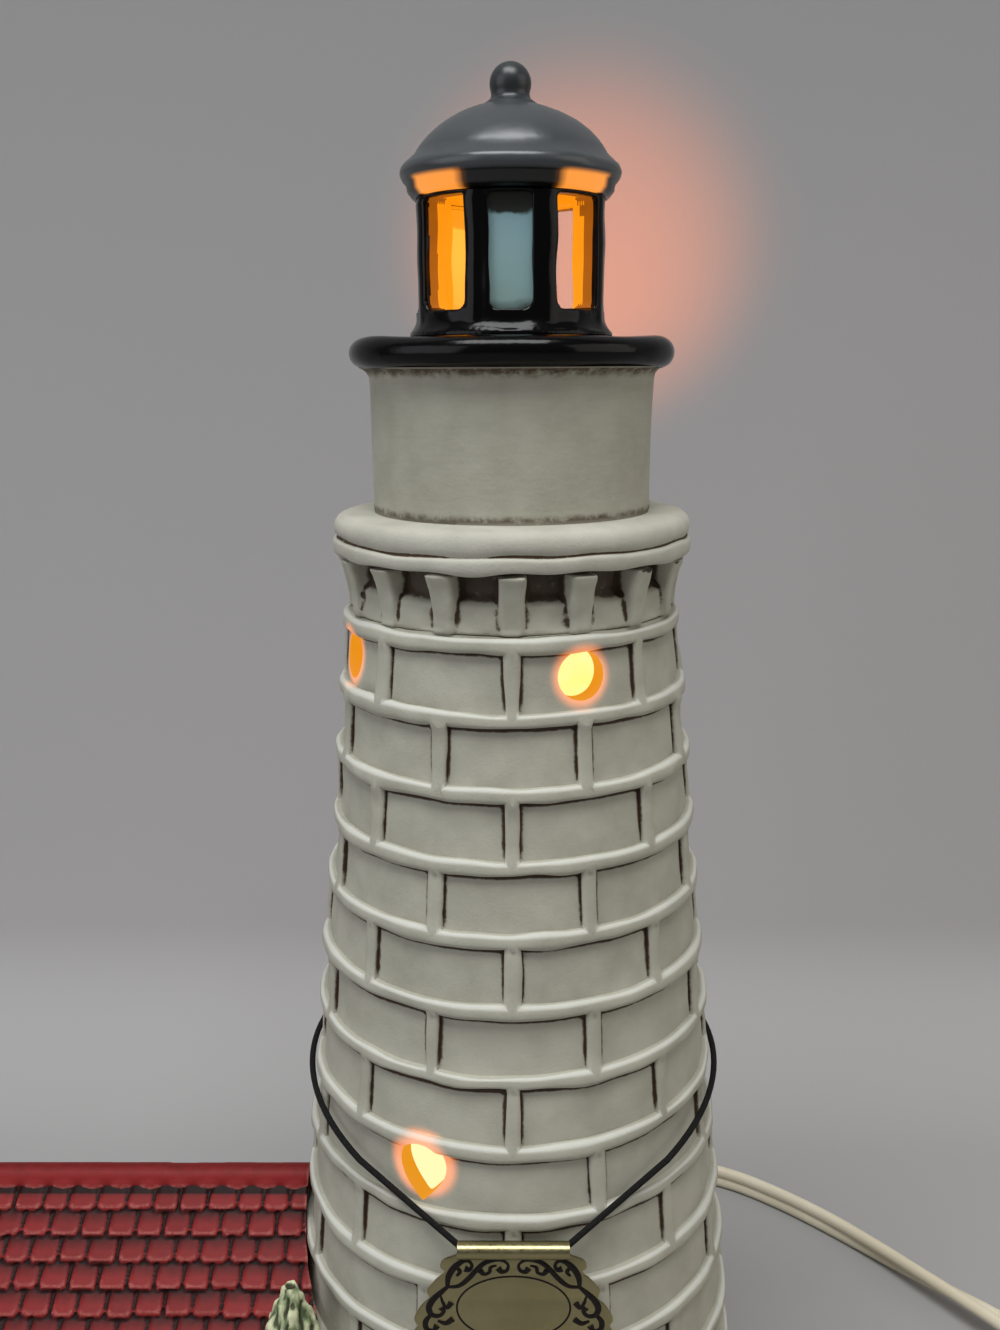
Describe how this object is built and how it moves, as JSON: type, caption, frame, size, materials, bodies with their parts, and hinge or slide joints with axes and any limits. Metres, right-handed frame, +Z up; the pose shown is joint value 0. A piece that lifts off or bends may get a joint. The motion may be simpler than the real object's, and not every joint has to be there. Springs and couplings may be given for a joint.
{
  "type": "lighthouse accent lamp",
  "caption": "Ceramic lighthouse accent lamp: hollow block-coursed tower with lantern, keeper's house, clip-in bulb, flat lead with wheel switch and plug, and a hinged brass tag.",
  "frame": {"origin": "centre of the base's underside, on the table", "axes": "+Z up, +X to the viewer's right, -Y towards the viewer"},
  "size_m": [0.2235, 0.1943, 0.2475],
  "materials": {
    "bisque": "matte stained bisque with brown antiquing in the joints",
    "black_glaze": "glossy black glaze",
    "grey_glaze": "glossy grey glaze",
    "pane_glaze": "grey-blue glaze, dirty at the edges",
    "roof_glaze": "worn red glaze, dark in the joints",
    "house_bisque": "cream bisque with drawn brick joints",
    "window_glaze": "warm yellow glaze with white bars",
    "door_paint": "brown boarded bisque",
    "rock_bisque": "stained rock, grass on top",
    "leaf_pale": "pale dry-brushed green",
    "leaf_dark": "dark dry-brushed green",
    "socket_ivory": "moulded ivory",
    "brass": "bright rolled brass",
    "tag_brass": "polished brass sheet with black enamel scrollwork",
    "spring_steel": "bright spring steel",
    "lamp_glass": "clear glass, lit from inside",
    "insulator": "black vitrite",
    "filament": "glowing wire",
    "elastic": "black covered elastic",
    "lead_ivory": "ivory PVC",
    "switch_ivory": "moulded ivory",
    "wheel_ivory": "moulded, knurled"
  },
  "bodies": {
    "root": {"rocky_base": "rock_bisque", "tower_shaft": "bisque", "corbel_course": "bisque", "lower_gallery": "bisque", "watch_room": "bisque", "upper_gallery": "black_glaze", "lantern_room": "black_glaze", "blind_panes": "pane_glaze", "lantern_dome": "grey_glaze", "ball_finial": "grey_glaze", "house_walls": "house_bisque", "house_roof": "roof_glaze", "ridge_tiles": "roof_glaze", "house_windows": "window_glaze", "house_door": "door_paint", "shrub_left": "leaf_pale", "shrub_right": "leaf_dark", "socket_body": "socket_ivory", "socket_shell": "brass", "socket_contact": "brass", "socket_clip": "spring_steel", "bulb_glass": "lamp_glass", "bulb_cap": "brass", "bulb_insulator": "insulator", "bulb_stem": "lamp_glass", "bulb_filament": "filament", "tag_elastic": "elastic", "lead_inside": "lead_ivory", "lead_run": "lead_ivory", "lead_feed": "lead_ivory", "lead_coil": "lead_ivory", "lead_tail": "lead_ivory", "switch_bottom": "switch_ivory", "switch_top": "switch_ivory", "switch_contacts": "brass", "switch_screw": "spring_steel", "plug_body": "lead_ivory", "plug_blades": "brass"},
    "tag": {"hang_tag": "tag_brass"},
    "wheel": {"switch_wheel": "wheel_ivory"}
  },
  "joints": [
    {"name": "tag_lift", "type": "hinge", "parent": "root", "child": "tag", "pos_m": [0.028, -0.03676, 0.0775], "axis": [-1, 0, 0], "range_deg": [0, 170]},
    {"name": "switch_turn", "type": "hinge", "parent": "root", "child": "wheel", "pos_m": [0.139, -0.004, 0.0065], "axis": [0, 0, 1], "continuous": true}
  ]
}
